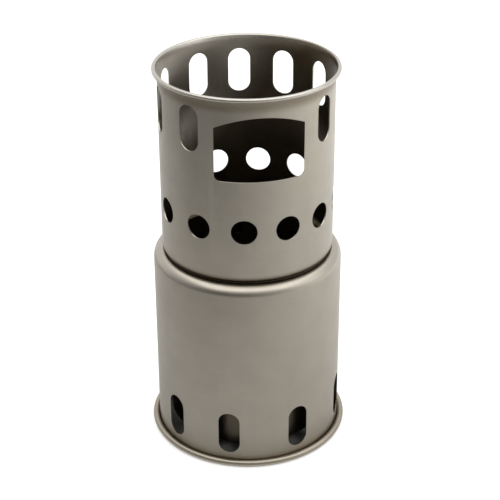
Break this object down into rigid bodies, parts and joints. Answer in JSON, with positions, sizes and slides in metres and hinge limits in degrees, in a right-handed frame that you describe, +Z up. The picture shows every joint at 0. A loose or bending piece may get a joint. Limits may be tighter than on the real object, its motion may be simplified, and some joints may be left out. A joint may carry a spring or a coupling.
{
  "type": "backpacking wood stove",
  "caption": "Twin-wall camping wood stove: slotted base shell on a rolled foot, hanging perforated firebox and a lift-off chimney with feed window and pot rim.",
  "frame": {"origin": "middle of the foot, on the ground plane that the rolled foot stands on", "axes": "+Z up along the stove's axis, -Y towards the front, near the direction that the feed window faces"},
  "size_m": [0.095, 0.095, 0.185],
  "materials": {
    "base_titanium": "bead-blasted titanium, satin",
    "firebox_titanium": "bead-blasted titanium, satin",
    "chimney_titanium": "bead-blasted titanium, satin"
  },
  "bodies": {
    "base": {"base_shell": "base_titanium"},
    "firebox": {"firebox": "firebox_titanium"},
    "chimney": {"chimney": "chimney_titanium"}
  },
  "joints": [
    {"name": "firebox_lift", "type": "slide", "parent": "base", "child": "firebox", "axis": [0, 0, 1], "range_m": [0, 0.11]},
    {"name": "chimney_lift", "type": "slide", "parent": "firebox", "child": "chimney", "axis": [0, 0, 1], "range_m": [0, 0.1]}
  ]
}
